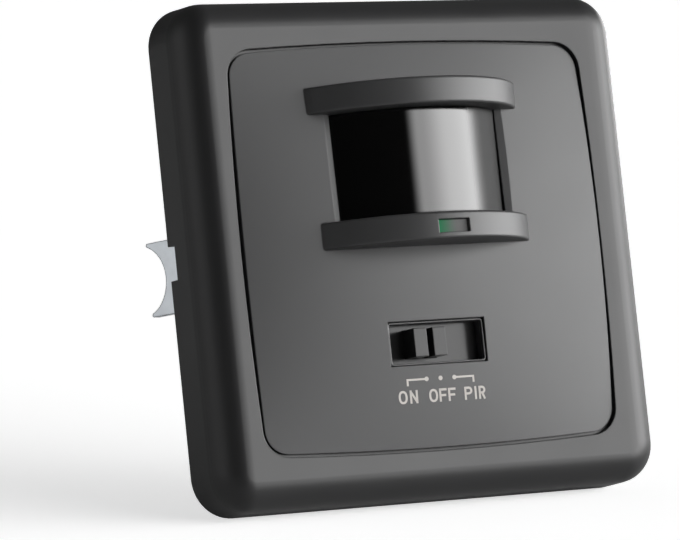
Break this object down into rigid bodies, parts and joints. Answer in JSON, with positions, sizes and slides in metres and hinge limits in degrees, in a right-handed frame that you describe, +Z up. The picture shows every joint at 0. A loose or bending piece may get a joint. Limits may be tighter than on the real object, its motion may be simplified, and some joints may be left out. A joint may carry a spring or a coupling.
{
  "type": "motion sensor light switch",
  "caption": "Flush-mount wall light switch with an infrared motion sensor under a curved visor, a slide for on, off and automatic, a square cover frame and spreading claws.",
  "frame": {"origin": "middle of the mounting ring's back face, on the wall plane between the two box screw slots", "axes": "+X to the right as seen from the room, +Y into the wall, +Z up"},
  "size_m": [0.08, 0.053, 0.08],
  "materials": {
    "frame_plastic": "anthracite, satin",
    "plate_plastic": "anthracite, satin",
    "slider_plastic": "anthracite, satin",
    "lens_plastic": "black, polished",
    "pipe_plastic": "clear smoke, lit green at one end",
    "white_plastic": "satin",
    "black_plastic": "satin",
    "tinned_steel": "tinned",
    "board_resin": "green solder mask",
    "can_steel": "drawn can",
    "filter_glass": "dark infrared filter",
    "led_resin": "green",
    "photo_resin": "dark",
    "trimmer_plastic": "blue",
    "gold_brass": "gold plated",
    "relay_plastic": "blue case",
    "film_plastic": "yellow case",
    "sleeve_plastic": "dark sleeve",
    "diode_plastic": "black with a light band",
    "resistor_ceramic": "lacquered",
    "terminal_plastic": "natural",
    "clamp_brass": "milled",
    "screw_steel": "zinc plated",
    "insert_plastic": "fine texture",
    "zinc_steel": "zinc plated, bluish"
  },
  "bodies": {
    "switch": {"cover_frame": "frame_plastic", "centre_plate": "plate_plastic", "infrared_lens": "lens_plastic", "light_pipe": "pipe_plastic", "slide_switch_base": "black_plastic", "slide_switch_shell": "tinned_steel", "sensor_board": "board_resin", "detector_can": "can_steel", "detector_window": "filter_glass", "status_led": "led_resin", "light_sensor": "photo_resin", "trimmer_bodies": "trimmer_plastic", "header_strips": "black_plastic", "header_pins": "gold_brass", "power_board": "board_resin", "relay": "relay_plastic", "film_capacitor": "film_plastic", "smoothing_capacitor": "sleeve_plastic", "rectifier_diodes": "diode_plastic", "fuse_resistor": "resistor_ceramic", "terminal_block": "terminal_plastic", "terminal_clamps": "clamp_brass", "terminal_screws": "screw_steel", "insert_cover": "insert_plastic", "mounting_ring": "zinc_steel", "insert_housing": "insert_plastic", "housing_screws": "screw_steel", "claw_pins": "zinc_steel"},
    "slider": {"switch_slider": "slider_plastic", "slide_stem": "white_plastic"},
    "time_dial": {"time_dial": "white_plastic"},
    "brightness_dial": {"brightness_dial": "white_plastic"},
    "left_claw": {"left_claw": "zinc_steel"},
    "left_claw_screw": {"left_claw_screw": "screw_steel"},
    "left_claw_nut": {"left_claw_nut": "zinc_steel"},
    "right_claw": {"right_claw": "zinc_steel"},
    "right_claw_screw": {"right_claw_screw": "screw_steel"},
    "right_claw_nut": {"right_claw_nut": "zinc_steel"}
  },
  "joints": [
    {"name": "slider_slide", "type": "slide", "parent": "switch", "child": "slider", "axis": [1, 0, 0], "range_m": [0, 0.004]},
    {"name": "time_turn", "type": "hinge", "parent": "switch", "child": "time_dial", "pos_m": [-0.0115, -0.0023, -0.006], "axis": [0, 1, 0], "range_deg": [-135, 135]},
    {"name": "brightness_turn", "type": "hinge", "parent": "switch", "child": "brightness_dial", "pos_m": [0.0115, -0.0023, -0.006], "axis": [0, 1, 0], "range_deg": [-135, 135]},
    {"name": "left_nut_draw", "type": "slide", "parent": "switch", "child": "left_claw_nut", "axis": [0, -1, 0], "range_m": [-0.0012, 0.0072]},
    {"name": "left_screw_turn", "type": "hinge", "parent": "switch", "child": "left_claw_screw", "pos_m": [-0.0257, 0, 0.00025], "axis": [0, 1, 0], "range_deg": [-720.5, 4320.5]},
    {"name": "left_claw_spread", "type": "hinge", "parent": "switch", "child": "left_claw", "pos_m": [-0.0229, 0.0032, 0.00025], "axis": [0, 0, 1], "range_deg": [-2, 12.01]},
    {"name": "right_nut_draw", "type": "slide", "parent": "switch", "child": "right_claw_nut", "axis": [0, -1, 0], "range_m": [-0.0012, 0.0072]},
    {"name": "right_screw_turn", "type": "hinge", "parent": "switch", "child": "right_claw_screw", "pos_m": [0.0257, 0, 0.00025], "axis": [0, 1, 0], "range_deg": [-720.5, 4320.5]},
    {"name": "right_claw_spread", "type": "hinge", "parent": "switch", "child": "right_claw", "pos_m": [0.0229, 0.0032, 0.00025], "axis": [0, 0, -1], "range_deg": [-2, 12.01]}
  ],
  "couplings": [
    {"joint": "left_screw_turn", "follows": "left_nut_draw", "rad_per_m": 10472},
    {"joint": "left_claw_spread", "follows": "left_nut_draw", "rad_per_m": 29.089},
    {"joint": "right_screw_turn", "follows": "right_nut_draw", "rad_per_m": 10472},
    {"joint": "right_claw_spread", "follows": "right_nut_draw", "rad_per_m": 29.089}
  ]
}
